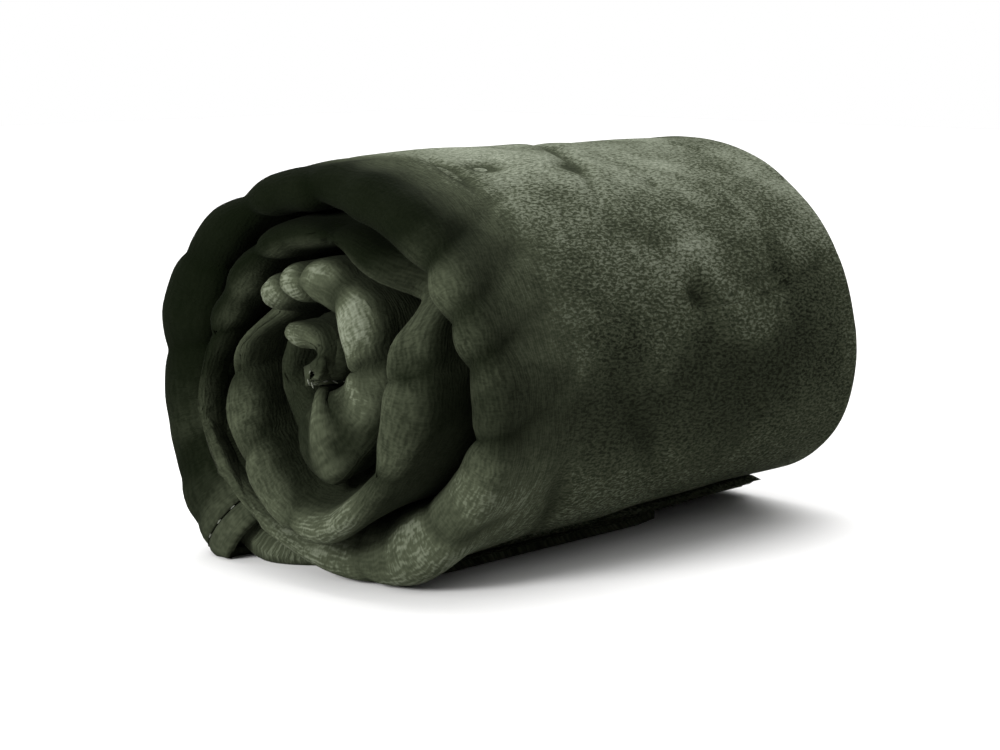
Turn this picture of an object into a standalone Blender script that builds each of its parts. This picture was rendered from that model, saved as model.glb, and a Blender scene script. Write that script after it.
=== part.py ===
"""Plush camp blanket, folded in four and rolled up, lying on its free end.

The blanket is one flat sheet of fleece, turned up and stitched along its four edges.
Every solid here is a region of that flat sheet. It is carried into the roll by one mapping:
    u  runs across the sheet, through the four plies of the book fold, and becomes Y and depth
    v  runs along the sheet, from the core of the roll to its free end, and becomes the winding
    h  runs through the sheet, and is positive on the face that shows on the outer ply
Units are metres, +Z is up, the roll's axis lies along +Y, and the fold edges face -Y.
"""
import math

import bmesh
import bpy
import numpy as np

MM = 0.001

# The flat blanket
SHEET_WIDTH = 1250 * MM
SHEET_LENGTH = 1500 * MM
FLEECE = 2.8 * MM

# The turned-up edges, and the stitching that holds them
HEM_WIDTH = 15 * MM
HEM_THICKNESS = 3.4 * MM
STITCH_WIDTH = 0.8 * MM
STITCH_RECESS = 0.2 * MM
SEAM_GAP = 0.3 * MM

# The care label, sewn over the hem on the wrong side
LABEL_LENGTH = 32 * MM
LABEL_WIDTH = 24 * MM
LABEL_THICKNESS = 0.5 * MM
LABEL_FROM_EDGE = 9 * MM
LABEL_FROM_END = 210 * MM

# The book fold: four plies stacked through the winding
PLY_PITCH = 5.9 * MM
EDGE_SETBACK = 4 * MM
NEST_SETBACK = 3 * MM

# The winding
CORE_RADIUS = 15 * MM
TURN_CLEARANCE = 0.9 * MM
FLATTENING = 0.14
LEAVE_ANGLE = math.radians(233)
LANDING_LEFT_OF_AXIS = 20 * MM
FLAP_REACH = 35 * MM
REST_CLEARANCE = 0.4 * MM
LAG_RUN = 160 * MM

# How finely the curves are divided
CHORD_ERROR = 0.7 * MM
LONGEST_STEP = 30 * MM
FOLD_STEPS = {"near": 6, "far": 4, "nested": 4}
LAG_STEPS = 10
CURVE_SAMPLES = 6000

SEAM_WIDTH = HEM_WIDTH + SEAM_GAP + STITCH_WIDTH + SEAM_GAP
WRONG_FACE = -FLEECE / 2
RIGHT_FACE = FLEECE / 2
HEM_TOP = WRONG_FACE + HEM_THICKNESS
TURN_PITCH = (3 * PLY_PITCH + 2 * HEM_TOP + TURN_CLEARANCE) / (1 - FLATTENING)
FLAP_TOP = PLY_PITCH + FLEECE


def smoothstep(t):
    """0 to 1 with no slope at either end."""
    t = np.clip(t, 0.0, 1.0)
    return t * t * (3.0 - 2.0 * t)


# ---------------------------------------------------------------- the book fold, across the sheet

class BookFold:
    """Where a point across the sheet lies: y along the roll, n outwards from the mid-line."""

    def __init__(self):
        near_reach = 1.5 * PLY_PITCH + FLEECE / 2
        far_reach = 0.5 * PLY_PITCH + FLEECE / 2
        in_arcs = 2.5 * math.pi * PLY_PITCH
        taken = 2 * EDGE_SETBACK + 4 * near_reach + 2 * far_reach + 2 * NEST_SETBACK
        self.length = (SHEET_WIDTH + taken - in_arcs) / 4
        near = -self.length / 2 + near_reach
        far = self.length / 2 - far_reach
        nested = near + NEST_SETBACK
        edge = self.length / 2 - EDGE_SETBACK
        big = 1.5 * PLY_PITCH
        small = 0.5 * PLY_PITCH
        # kind, length, start y, start n, heading; an arc adds its centre n, radius and turn
        self.pieces = [
            ("run", edge - near, edge, -big, -1),
            ("arc", math.pi * big, near, 0.0, big, -1, "near"),
            ("run", far - near, near, big, 1),
            ("arc", math.pi * small, far, PLY_PITCH, small, -1, "far"),
            ("run", far - nested, far, small, -1),
            ("arc", math.pi * small, nested, 0.0, small, 1, "nested"),
            ("run", edge - nested, nested, -small, 1),
        ]

    def at(self, u, h):
        """The point at u across the sheet and h through it, as (y, n)."""
        start = 0.0
        for piece in self.pieces:
            if u <= start + piece[1] or piece is self.pieces[-1]:
                break
            start += piece[1]
        if piece[0] == "run":
            _, _, y, n, heading = piece
            return y + heading * (u - start), n + heading * h
        _, length, y, n, radius, turn, name = piece
        share = math.pi * (u - start) / length
        reach = radius - turn * h
        side = 1 if name == "far" else -1
        rise = 1 if name == "near" else -1
        return y + side * reach * math.sin(share), n - rise * reach * math.cos(share)

    def stations(self, low, high):
        """The values of u between which the folded sheet is straight enough."""
        stops = [low, high]
        start = 0.0
        for piece in self.pieces:
            steps = FOLD_STEPS[piece[-1]] if piece[0] == "arc" else 1
            stops += [start + piece[1] * i / steps for i in range(steps + 1)]
            start += piece[1]
        stops += [self.lag_start() + LAG_RUN * i / LAG_STEPS for i in range(LAG_STEPS + 1)]
        return tidy_stops(stops, low, high)

    def lag_start(self):
        """Where the third ply starts, which slides along the outer pair."""
        return sum(piece[1] for piece in self.pieces[:4])


def tidy_stops(stops, low, high):
    """Sorted stops from low to high, with any that nearly coincide left out."""
    inside = sorted(stop for stop in stops if low <= stop <= high)
    kept = [low]
    for stop in inside:
        if stop - kept[-1] > SEAM_GAP and high - stop > SEAM_GAP:
            kept.append(stop)
    return kept + [high]


# ---------------------------------------------------------------- the winding, along the sheet

def spiral(last_radius):
    """The turns about the axis, from the core to where the free end leaves them."""
    sweep = (last_radius - CORE_RADIUS) / TURN_PITCH * 2 * math.pi
    angle = np.linspace(LEAVE_ANGLE - sweep, LEAVE_ANGLE, CURVE_SAMPLES)
    radius = last_radius - TURN_PITCH * (LEAVE_ANGLE - angle) / (2 * math.pi)
    upright = CORE_RADIUS + (radius - CORE_RADIUS) * (1 - FLATTENING)
    return np.column_stack((radius * np.cos(angle), upright * np.sin(angle)))


def tangents(points):
    """Unit directions along a curve."""
    along = np.gradient(points, axis=0)
    return along / np.linalg.norm(along, axis=1)[:, None]


def outwards(points):
    """Unit directions away from the core."""
    along = tangents(points)
    return np.column_stack((along[:, 1], -along[:, 0]))


def axis_height(turns):
    """The height at which the turn before the last one rests on the flap."""
    samples_per_radian = CURVE_SAMPLES * TURN_PITCH
    samples_per_radian /= 2 * math.pi * (np.linalg.norm(turns[-1]) - CORE_RADIUS)
    before_last = turns[:-int(samples_per_radian * math.pi / 2)]
    reach = 1.5 * PLY_PITCH + FLEECE / 2
    lowest = (before_last + reach * outwards(before_last))[:, 1].min()
    return FLAP_TOP + REST_CLEARANCE - lowest


def free_end(start, heading):
    """The sheet easing down to the floor, then lying flat under the roll."""
    landing = np.array((-LANDING_LEFT_OF_AXIS, FLAP_TOP / 2))
    pull = np.linalg.norm(landing - start)
    t = np.linspace(0.0, 1.0, CURVE_SAMPLES // 10)[1:, None]
    ease = (2 * t**3 - 3 * t**2 + 1) * start + (3 * t**2 - 2 * t**3) * landing
    ease += (t**3 - 2 * t**2 + t) * pull * heading
    ease += (t**3 - t**2) * pull * np.array((1.0, 0.0))
    flat = np.linspace(landing, (FLAP_REACH, FLAP_TOP / 2), CURVE_SAMPLES // 10)[1:]
    return np.vstack((ease, flat))


def mid_line(last_radius):
    """The middle of the four plies, from the core to the free edge, as (x, z) points."""
    turns = spiral(last_radius)
    turns[:, 1] += axis_height(spiral(last_radius))
    return np.vstack((turns, free_end(turns[-1], tangents(turns)[-1])))


def lengths(points):
    """The distance along a curve to each of its points."""
    steps = np.linalg.norm(np.diff(points, axis=0), axis=1)
    return np.concatenate(((0.0,), np.cumsum(steps)))


def last_radius_for(length):
    """The roll grows until the mid-line is as long as the sheet."""
    low = CORE_RADIUS + TURN_PITCH
    high = CORE_RADIUS + 20 * TURN_PITCH
    for _ in range(50):
        middle = (low + high) / 2
        if lengths(mid_line(middle))[-1] < length:
            low = middle
        else:
            high = middle
    return high


class Winding:
    """Where a point along the sheet lies: x across the roll, z above the floor."""

    def __init__(self, fold):
        self.fold = fold
        self.points = mid_line(last_radius_for(SHEET_LENGTH))
        self.normals = outwards(self.points)
        self.s = lengths(self.points)
        self.whole = self.s[-1]
        hem_reach = 1.5 * PLY_PITCH + HEM_TOP
        hem_height = (self.points + hem_reach * self.normals)[:, 1]
        last_turn = self.s > self.whole / 2
        on_floor = np.argmax(last_turn & (hem_height < REST_CLEARANCE))
        self.outer_end = self.s[on_floor]

    def distance(self, u, v):
        """The outer pair of plies ends sooner, and the inner pair runs on as the flap."""
        run_on = smoothstep((u - self.fold.lag_start()) / LAG_RUN)
        end = self.outer_end + (self.whole - self.outer_end) * run_on
        return v / SHEET_LENGTH * end

    def at(self, s, n):
        """The point n outwards from the mid-line at the distance s, as (x, z)."""
        x = np.interp(s, self.s, self.points[:, 0]) + n * np.interp(s, self.s, self.normals[:, 0])
        z = np.interp(s, self.s, self.points[:, 1]) + n * np.interp(s, self.s, self.normals[:, 1])
        return x, z

    def stations(self, low, high):
        """The values of v between which the winding is straight enough."""
        turn = np.gradient(np.unwrap(np.arctan2(-self.normals[:, 0], self.normals[:, 1])), self.s)
        bend = np.maximum(np.abs(turn), 8 * CHORD_ERROR / LONGEST_STEP**2)
        count = np.concatenate(((0.0,), np.cumsum(np.diff(self.s) * np.sqrt(bend[1:]))))
        count /= math.sqrt(8 * CHORD_ERROR)
        marks = np.linspace(0.0, count[-1], math.ceil(count[-1]) + 1)
        stops = np.interp(marks, count, self.s) * SHEET_LENGTH / self.whole
        return tidy_stops(list(stops), low, high)


# ---------------------------------------------------------------- solids

def finish(name, colour, roughness):
    """A plain Principled material."""
    material = bpy.data.materials.new(name)
    material.use_nodes = True
    shader = material.node_tree.nodes["Principled BSDF"]
    shader.inputs["Base Color"].default_value = (*colour, 1.0)
    shader.inputs["Roughness"].default_value = roughness
    shader.inputs["Metallic"].default_value = 0.0
    return material


def region(fold, winding, across, along, low, high):
    """A region of the sheet from low to high through it: its points, and its faces."""
    us = fold.stations(*across)
    vs = winding.stations(*along)
    points = []
    for h in (low, high):
        for u in us:
            y, n = fold.at(u, h)
            for v in vs:
                x, z = winding.at(winding.distance(u, v), n)
                points.append((x, y, z))
    rows = len(us)
    columns = len(vs)
    layer = rows * columns
    faces = []
    for i in range(rows - 1):
        for j in range(columns - 1):
            a = i * columns + j
            quad = (a, a + 1, a + columns + 1, a + columns)
            faces.append(quad)
            faces.append(tuple(corner + layer for corner in reversed(quad)))
    edge = [j for j in range(columns)]
    edge += [i * columns + columns - 1 for i in range(1, rows)]
    edge += [(rows - 1) * columns + j for j in range(columns - 2, -1, -1)]
    edge += [i * columns for i in range(rows - 2, 0, -1)]
    for a, b in zip(edge, edge[1:] + edge[:1]):
        faces.append((b, a, a + layer, b + layer))
    return np.array(points), faces


def blanket_regions():
    """Each piece's name, span across the sheet, span along it, faces and finish."""
    width = SHEET_WIDTH
    length = SHEET_LENGTH
    beside = HEM_WIDTH + SEAM_GAP
    inner = (SEAM_WIDTH, width - SEAM_WIDTH)
    whole = (0.0, length)
    between = (beside, length - beside)
    panel = (WRONG_FACE, RIGHT_FACE)
    hem = (WRONG_FACE, HEM_TOP)
    stitch = (WRONG_FACE + STITCH_RECESS, HEM_TOP - STITCH_RECESS)
    label = (WRONG_FACE - SEAM_GAP - LABEL_THICKNESS, WRONG_FACE - SEAM_GAP)
    label_across = (LABEL_FROM_EDGE, LABEL_FROM_EDGE + LABEL_LENGTH)
    label_along = (length - LABEL_FROM_END, length - LABEL_FROM_END + LABEL_WIDTH)
    across = (beside, width - beside)
    row = beside + STITCH_WIDTH
    return [
        ("fleece_panel", inner, (SEAM_WIDTH, length - SEAM_WIDTH), panel, "fleece"),
        ("hem_side_outer", (0.0, HEM_WIDTH), whole, hem, "hem"),
        ("hem_side_nested", (width - HEM_WIDTH, width), whole, hem, "hem"),
        ("hem_core_end", across, (0.0, HEM_WIDTH), hem, "hem"),
        ("hem_free_end", across, (length - HEM_WIDTH, length), hem, "hem"),
        ("stitching_side_outer", (beside, row), between, stitch, "thread"),
        ("stitching_side_nested", (width - row, width - beside), between, stitch, "thread"),
        ("stitching_core_end", inner, (beside, row), stitch, "thread"),
        ("stitching_free_end", inner, (length - row, length - beside), stitch, "thread"),
        ("care_label", label_across, label_along, label, "label"),
    ]


def add_solid(name, points, faces, material):
    """One closed body, shaded smooth except along its cut edges."""
    mesh = bpy.data.meshes.new(name)
    mesh.from_pydata([tuple(point) for point in points], [], faces)
    body = bmesh.new()
    body.from_mesh(mesh)
    bmesh.ops.recalc_face_normals(body, faces=body.faces)
    body.to_mesh(mesh)
    body.free()
    mesh.shade_smooth()
    mesh.set_sharp_from_angle(angle=math.radians(50))
    mesh.materials.append(material)
    item = bpy.data.objects.new(name, mesh)
    bpy.context.scene.collection.objects.link(item)
    return item


def build():
    for item in list(bpy.data.objects):
        bpy.data.objects.remove(item, do_unlink=True)
    finishes = {
        "fleece": finish("fleece", (0.045, 0.052, 0.033), 0.95),
        "hem": finish("hem_fleece", (0.040, 0.046, 0.030), 0.95),
        "thread": finish("sewing_thread", (0.060, 0.066, 0.045), 0.60),
        "label": finish("label_tape", (0.55, 0.55, 0.52), 0.70),
    }
    fold = BookFold()
    winding = Winding(fold)
    solids = []
    for name, across, along, faces_at, material in blanket_regions():
        points, faces = region(fold, winding, across, along, *faces_at)
        solids.append((name, points, faces, finishes[material]))
    every = np.vstack([points for _, points, _, _ in solids])
    centre = (every.min(axis=0) + every.max(axis=0)) / 2
    origin = np.array((centre[0], centre[1], every[:, 2].min()))
    for name, points, faces, material in solids:
        add_solid(name, points - origin, faces, material)


build()
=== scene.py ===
# %% [markdown]
# # A plush camp blanket, folded and rolled
#
# The object is one sheet of flannel fleece, 1.25 m by 1.50 m. It is folded in four across its
# width, and then rolled up. One end of the roll shows the fat fold edge of every turn as a
# spiral, and the other end shows the sheet's hemmed edges. The last turn's outer pair of plies
# stops at the lower left. The inner pair runs on and lies flat on the floor under the roll.
#
# A simulation of a blanket being folded and rolled would take far too long, and it would not
# roll up the same way twice. Here the roll is a rule instead: one function takes a place on the
# flat sheet and says where it lies in the roll. Everything that is sewn to the sheet goes
# through the same function, so hems, stitches and label land where they belong.

# %% The frame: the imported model, and what its box says about the roll
import math

import bpy
import numpy as np
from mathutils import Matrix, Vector


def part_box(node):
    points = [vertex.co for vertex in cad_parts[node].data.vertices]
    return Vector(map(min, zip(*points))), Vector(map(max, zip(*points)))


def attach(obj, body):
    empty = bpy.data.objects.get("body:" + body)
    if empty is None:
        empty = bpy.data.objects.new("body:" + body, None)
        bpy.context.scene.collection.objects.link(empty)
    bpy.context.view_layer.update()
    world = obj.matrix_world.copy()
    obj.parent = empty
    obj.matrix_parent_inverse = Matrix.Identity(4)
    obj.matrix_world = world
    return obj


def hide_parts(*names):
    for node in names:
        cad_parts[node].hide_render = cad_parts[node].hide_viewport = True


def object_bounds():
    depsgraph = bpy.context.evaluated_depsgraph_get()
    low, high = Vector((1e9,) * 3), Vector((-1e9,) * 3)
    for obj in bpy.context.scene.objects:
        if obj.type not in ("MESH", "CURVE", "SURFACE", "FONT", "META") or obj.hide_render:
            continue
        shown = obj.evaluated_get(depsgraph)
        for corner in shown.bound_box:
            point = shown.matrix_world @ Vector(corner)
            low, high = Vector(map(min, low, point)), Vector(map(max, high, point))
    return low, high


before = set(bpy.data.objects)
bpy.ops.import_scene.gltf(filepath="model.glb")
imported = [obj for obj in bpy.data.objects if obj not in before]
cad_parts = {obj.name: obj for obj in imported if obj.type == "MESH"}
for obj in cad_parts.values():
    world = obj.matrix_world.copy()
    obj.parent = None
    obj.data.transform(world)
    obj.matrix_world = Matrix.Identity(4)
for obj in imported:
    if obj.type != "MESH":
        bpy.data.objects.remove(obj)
cad_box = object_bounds()
MM = 0.001

low, high = (np.array(corner) for corner in cad_box)
WIDTH, LENGTH, HEIGHT = high - low
print("the roll is", [round(float(side), 3) for side in (WIDTH, LENGTH, HEIGHT)], "m")

# %% [markdown]
# ## The flat sheet
#
# These sizes belong to the cloth. Across the sheet, `u` runs from one long edge through four
# plies to the other long edge. Along the sheet, `v` runs from the core to the free end. A ply
# is thinner than the room that it takes in the roll, because plush holds its neighbours off.

# %% Sizes of the sheet, its hems and its fold
SHEET_WIDTH = 1.25
SHEET_LENGTH = 1.50
FLEECE = 3.6 * MM
HEM_WIDTH = 15 * MM
HEM_THICKNESS = 5.4 * MM
SEAM_THICKNESS = 2.2 * MM
PLY_PITCH = 5.9 * MM
NEST_SETBACK = 3 * MM
EDGE_SETBACK = 4 * MM


def smoothstep(t):
    t = np.clip(t, 0.0, 1.0)
    return t * t * (3.0 - 2.0 * t)


def bump(x, centre, spread):
    """A soft swell that is 1 at its centre and fades over its spread."""
    return np.exp(-((x - centre) / spread) ** 2)


# %% [markdown]
# ## The book fold
#
# The profile across the sheet is a list of straight runs and half circles. For each place it
# gives how far along the roll it is (0 at the fold end, 1 at the hem end), which depth it has in
# the pack of plies (-1 inside, 1 outside), and how far it bulges past the end of the runs, which
# is where the fold edges are: two at the near end, one nested in the other, and one at the far.

# %% The profile across the sheet
NEAR_REACH = 1.5 * PLY_PITCH + FLEECE / 2
FAR_REACH = 0.5 * PLY_PITCH + FLEECE / 2
BIG_ARC = 1.5 * math.pi * PLY_PITCH
SMALL_ARC = 0.5 * math.pi * PLY_PITCH
RUN = LENGTH - NEAR_REACH - FAR_REACH
SHARE_NESTED = NEST_SETBACK / RUN
SHARE_EDGE = 1.0 + (FAR_REACH - EDGE_SETBACK) / RUN
RUNS = (SHEET_WIDTH - BIG_ARC - 2 * SMALL_ARC) / (2 + 2 * SHARE_EDGE - 2 * SHARE_NESTED)
# A run has its length of cloth, where it starts and ends along the roll, and its depth.
# A fold has its length of cloth, its place along the roll, and its depth's middle and half.
PIECES = [
    ("run", SHARE_EDGE * RUNS, SHARE_EDGE, 0.0, -1.0),
    ("near", BIG_ARC, 0.0, 0.0, -1.0),
    ("run", RUNS, 0.0, 1.0, 1.0),
    ("far", SMALL_ARC, 1.0, 2 / 3, 1 / 3),
    ("run", (1.0 - SHARE_NESTED) * RUNS, 1.0, SHARE_NESTED, 1 / 3),
    ("near", SMALL_ARC, SHARE_NESTED, 0.0, 1 / 3),
    ("run", (SHARE_EDGE - SHARE_NESTED) * RUNS, SHARE_NESTED, SHARE_EDGE, -1 / 3),
]
STARTS = np.concatenate(([0.0], np.cumsum([piece[1] for piece in PIECES])))
NEAR_FOLD = (STARTS[1], STARTS[2])
FAR_FOLD = (STARTS[3], STARTS[4])
NESTED_FOLD = (STARTS[5], STARTS[6])


def book_fold(u):
    """Along the roll, depth in the pack, and bulge past the near and the far end."""
    along = np.zeros_like(u)
    depth = np.zeros_like(u)
    near = np.zeros_like(u)
    far = np.zeros_like(u)
    piece_of = np.clip(np.searchsorted(STARTS, u, side="right") - 1, 0, len(PIECES) - 1)
    for index, (kind, cloth_in_it, a, b, c) in enumerate(PIECES):
        here = piece_of == index
        share = (u[here] - STARTS[index]) / cloth_in_it
        if kind == "run":
            along[here] = a + share * (b - a)
            depth[here] = c
            continue
        along[here] = a
        depth[here] = b + c * np.cos(math.pi * share)
        if kind == "near":
            near[here] = np.sin(math.pi * share) * abs(c)
        else:
            far[here] = np.sin(math.pi * share)
    return along, depth, near, far


print("the sheet folds into", len(PIECES), "runs and arcs,", round(float(STARTS[-1]), 4), "m wide")

# %% [markdown]
# ## The winding
#
# A turn is the room between two outlines of the same spiral, one turn apart. So the plies of
# neighbouring turns press together by themselves, whatever shape the spiral has. The turn
# number `w` is 0 where the free end leaves the roll, and -1 one turn further in.

# %% The spiral of the roll's body
TURN_PITCH = 26.3 * MM
CORE_RADIUS = 15 * MM
UPRIGHT = 0.89
LEAVE_ANGLE = math.radians(233)
LEFT_MOST = (math.pi - LEAVE_ANGLE) / (2 * math.pi)
LEFT_REACH = WIDTH / 2 + TURN_PITCH / 4
AXIS_X = float(low[0]) + LEFT_REACH
AXIS_Z = HEIGHT - UPRIGHT * (LEFT_REACH - TURN_PITCH / 4)
NEAR_Y = -LENGTH / 2
FAR_Y = LENGTH / 2


def angle_of(w):
    return LEAVE_ANGLE + 2 * math.pi * w


def body_outline(w):
    """How far from the axis the outside of the turn lies, in the roll's body."""
    radius = LEFT_REACH + TURN_PITCH * (w - LEFT_MOST)
    angle = angle_of(w)
    oval = np.hypot(np.cos(angle), UPRIGHT * np.sin(angle))
    return np.maximum(radius, 2 * MM) * oval


# %% [markdown]
# ## The fold end
#
# The fold edges are never as even as the body. Some turns swell, some sink back between their
# neighbours, and the whole end leans a little. Each swell and each hollow is a soft bump at one
# turn number, so the list reads like a description of the end of the roll.

# %% Swells and hollows of the fold edges: turn number, spread in turns, amount
SWELLS = [
    (-0.02, 0.07, 24 * MM),
    (-0.11, 0.04, -4 * MM),
    (-0.19, 0.05, 7 * MM),
    (-0.31, 0.05, -3 * MM),
    (-0.62, 0.10, 4 * MM),
    (-0.84, 0.09, 21 * MM),
    (-1.13, 0.15, -21 * MM),
    (-1.42, 0.12, -6 * MM),
    (-1.88, 0.10, 17 * MM),
    (-2.20, 0.09, -13 * MM),
    (-2.43, 0.06, 4 * MM),
    (-2.63, 0.07, -11 * MM),
    (-2.87, 0.10, 21 * MM),
    (-3.10, 0.06, -4 * MM),
    (-3.80, 0.24, -20 * MM),
]
SAGS = [
    (-0.80, 0.08, 11 * MM),
    (-0.35, 0.12, -2 * MM),
]
FAR_SWELLS = [
    (-0.47, 0.12, -3 * MM),
    (-0.74, 0.08, 8 * MM),
]
HOLLOWS = [
    (0.02, 0.14, 15 * MM),
    (-0.17, 0.10, 4 * MM),
    (-0.70, 0.08, 22 * MM),
    (-0.84, 0.12, 22 * MM),
    (-1.10, 0.16, -4 * MM),
    (-1.545, 0.035, 30 * MM),
    (-2.24, 0.03, 18 * MM),
    (-2.39, 0.09, -6 * MM),
    (-2.70, 0.10, 8 * MM),
    (-3.05, 0.12, 9 * MM),
    (-3.20, 0.05, 4 * MM),
    (-3.33, 0.06, -4 * MM),
    (-3.58, 0.10, -3 * MM),
    (-3.95, 0.16, 22 * MM),
]
FLAP_HOLLOW = 42 * MM
END_LEAN = 0.096
FAR_SKEW = -0.19
FAR_LEAN = -0.12
SHOULDER = 60 * MM
SLIMMER = 0.10
SAG_REACH = 250 * MM
NOSE = 15 * MM
FAR_NOSE = 5 * MM


def bumps(w, table):
    """All the bumps of a table at the turn number w."""
    return sum(amount * bump(w, centre, spread) for centre, spread, amount in table)


def outline(w, behind):
    """The outside of a turn, which is uneven at the fold end and settles further back."""
    near = 1.0 - smoothstep(behind / SHOULDER)
    sag = np.clip(1.0 - behind / SAG_REACH, 0.0, 1.0)
    far = smoothstep(behind / LENGTH)
    uneven = near * bumps(w, SWELLS) + sag * bumps(w, SAGS) + far * bumps(w, FAR_SWELLS)
    return np.maximum(body_outline(w) + uneven, 1.5 * MM)


# %% [markdown]
# ## The free end
#
# Past the last turn the middle of the pack eases down to the floor and then lies flat under the
# roll. Only the inner pair of plies goes that far. The outer pair stops where its hem meets the
# floor, so the two pairs slide along each other: `run_on` says how far a place has slid.

# %% The line of the free end
FLAP_HALF = 2.3 * MM
FLAP_HEIGHT = FLAP_HALF + FLEECE / 2
LANDING_X = AXIS_X - 20 * MM
FLAP_END_X = float(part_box("hem_free_end")[1].x)
LAG_RUN = 120 * MM
TURN_RUN = 40 * MM
SAMPLES = 4000


def centre_line():
    """The middle of the pack as (x, z) points, with the directions in which depth counts."""
    w = np.linspace(-(LEFT_REACH - CORE_RADIUS) / TURN_PITCH, 0.0, SAMPLES)
    middle = (body_outline(w) + body_outline(w - 1)) / 2
    spokes = np.column_stack((np.cos(angle_of(w)), np.sin(angle_of(w))))
    turns = middle[:, None] * spokes + (AXIS_X, AXIS_Z)
    heading = turns[-1] - turns[-2]
    heading /= np.linalg.norm(heading)
    landing = np.array((LANDING_X, FLAP_HEIGHT))
    pull = np.linalg.norm(landing - turns[-1])
    t = np.linspace(0, 1, SAMPLES // 10)[1:, None]
    ease = (2 * t**3 - 3 * t**2 + 1) * turns[-1] + (3 * t**2 - 2 * t**3) * landing
    ease += (t**3 - 2 * t**2 + t) * pull * heading + (t**3 - t**2) * pull * np.array((1, 0))
    flat = np.linspace(landing, (FLAP_END_X, FLAP_HEIGHT), SAMPLES // 10)[1:]
    tail = np.vstack((ease, flat))
    along = np.gradient(tail, axis=0)
    along /= np.linalg.norm(along, axis=1)[:, None]
    outwards = np.column_stack((along[:, 1], -along[:, 0]))
    points = np.vstack((turns, tail))
    lengths = np.linalg.norm(np.diff(points, axis=0), axis=1)
    distance = np.concatenate(((0.0,), np.cumsum(lengths)))
    past = distance[SAMPLES:] - distance[SAMPLES - 1]
    turn = smoothstep(past / TURN_RUN)[:, None]
    outwards = turn * outwards + (1 - turn) * spokes[-1]
    outwards /= np.linalg.norm(outwards, axis=1)[:, None]
    return points, np.vstack((spokes, outwards)), distance, w


POINTS, SPOKES, DISTANCE, TURNS = centre_line()
LEAVES_AT = DISTANCE[SAMPLES - 1]
WHOLE = DISTANCE[-1]
OUTER_END = LEAVES_AT + 9 * MM
print("the wound sheet is", round(float(WHOLE), 3), "m long, and leaves the roll at",
      round(float(LEAVES_AT), 3), "m")


def run_on(u, v):
    """How far along the wound sheet the point (u, v) of the flat sheet comes to lie."""
    slid = smoothstep((u - FAR_FOLD[1]) / LAG_RUN)
    return v / SHEET_LENGTH * (OUTER_END + (WHOLE - OUTER_END) * slid)


# %% [markdown]
# ## Seeded noise
#
# Real cloth is never even, so its waves need noise. Blender's own noise works on one point at a
# time. A seeded table with smooth steps between its entries is quick on whole arrays, and it is
# the same on each run.

# %% Seeded noise on the flat sheet
class Noise:
    """Smooth noise from -1 to 1 over a table that repeats."""

    def __init__(self, seed, size=64):
        self.size = size
        self.table = np.random.default_rng(seed).uniform(-1, 1, (size, size))

    def __call__(self, x, y):
        x0 = np.floor(x).astype(int)
        y0 = np.floor(y).astype(int)
        fx = smoothstep(x - x0)
        fy = smoothstep(y - y0)
        a = self.table[x0 % self.size, y0 % self.size]
        b = self.table[(x0 + 1) % self.size, y0 % self.size]
        c = self.table[x0 % self.size, (y0 + 1) % self.size]
        d = self.table[(x0 + 1) % self.size, (y0 + 1) % self.size]
        return (a * (1 - fx) + b * fx) * (1 - fy) + (c * (1 - fx) + d * fx) * fy


WAVES = Noise(3)
RIPPLES = Noise(11)
CRUMPLES = Noise(29)
print("noise repeats after", WAVES.size, "steps")

# %% [markdown]
# ## From the flat sheet to the roll
#
# `rolled` puts the fold and the winding together. It takes arrays of places on the flat sheet
# and gives the place of each in the roll, for an even cloth. `facing` finds which way the cloth
# faces there, from two short steps on the sheet, so relief and thickness can be added along it.

# %% The place of any point of the sheet's middle
PLY_GAP = 0.2 * MM
SETTLE_RUN = 60 * MM
FLAP_STARTS = 20 * MM
FLAP_NOSE = 0.6


def rolled(u, v):
    """Where the point (u, v) of the sheet's middle lies, before its creases."""
    along, depth, near, far = book_fold(u)
    s = run_on(u, v)
    w = np.interp(s, DISTANCE[:SAMPLES], TURNS)
    spoke_x = np.interp(s, DISTANCE, SPOKES[:, 0])
    spoke_z = np.interp(s, DISTANCE, SPOKES[:, 1])
    past = np.clip(s - LEAVES_AT, 0.0, None)
    settle = smoothstep(past / SETTLE_RUN)
    drawn_in = smoothstep((past - FLAP_STARTS) / SETTLE_RUN)
    hollow = bumps(w, HOLLOWS) + FLAP_HOLLOW * drawn_in
    nose = NOSE * (1 - (1 - FLAP_NOSE) * settle)
    start = NEAR_Y + hollow + nose
    end = FAR_Y - FAR_NOSE - FLEECE / 2
    y = start + along * (end - start) - near * nose + far * FAR_NOSE
    behind = np.maximum(y - NEAR_Y, 0.0)
    outside = outline(w, behind)
    inside = outline(w - 1, behind)
    half = (outside - inside) / 2 - FLEECE / 2 - PLY_GAP
    half = half * (1 - SLIMMER * (1 - smoothstep(behind / SHOULDER)))
    half = half * (1 - settle) + 3 * FLAP_HALF * settle
    shift = (outside + inside) / 2 - (body_outline(w) + body_outline(w - 1)) / 2
    out = shift * (1 - settle) + depth * half
    x = np.interp(s, DISTANCE, POINTS[:, 0]) + spoke_x * out
    z = np.interp(s, DISTANCE, POINTS[:, 1]) + spoke_z * out
    share = (y - NEAR_Y) / LENGTH
    y = y + (1 - share) * END_LEAN * (z - AXIS_Z)
    y = y + share * (FAR_SKEW * np.maximum(x, 0) + FAR_LEAN * np.maximum(z - AXIS_Z, 0))
    return np.stack((x, y, z), axis=-1)


def facing(place, u, v, step=0.4 * MM):
    """The direction that the right side of the cloth faces, where place puts it."""
    across = place(u + step, v) - place(u - step, v)
    along = place(u, v + step) - place(u, v - step)
    normal = np.cross(across, along)
    return normal / np.maximum(np.linalg.norm(normal, axis=-1, keepdims=True), 1e-12)


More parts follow.
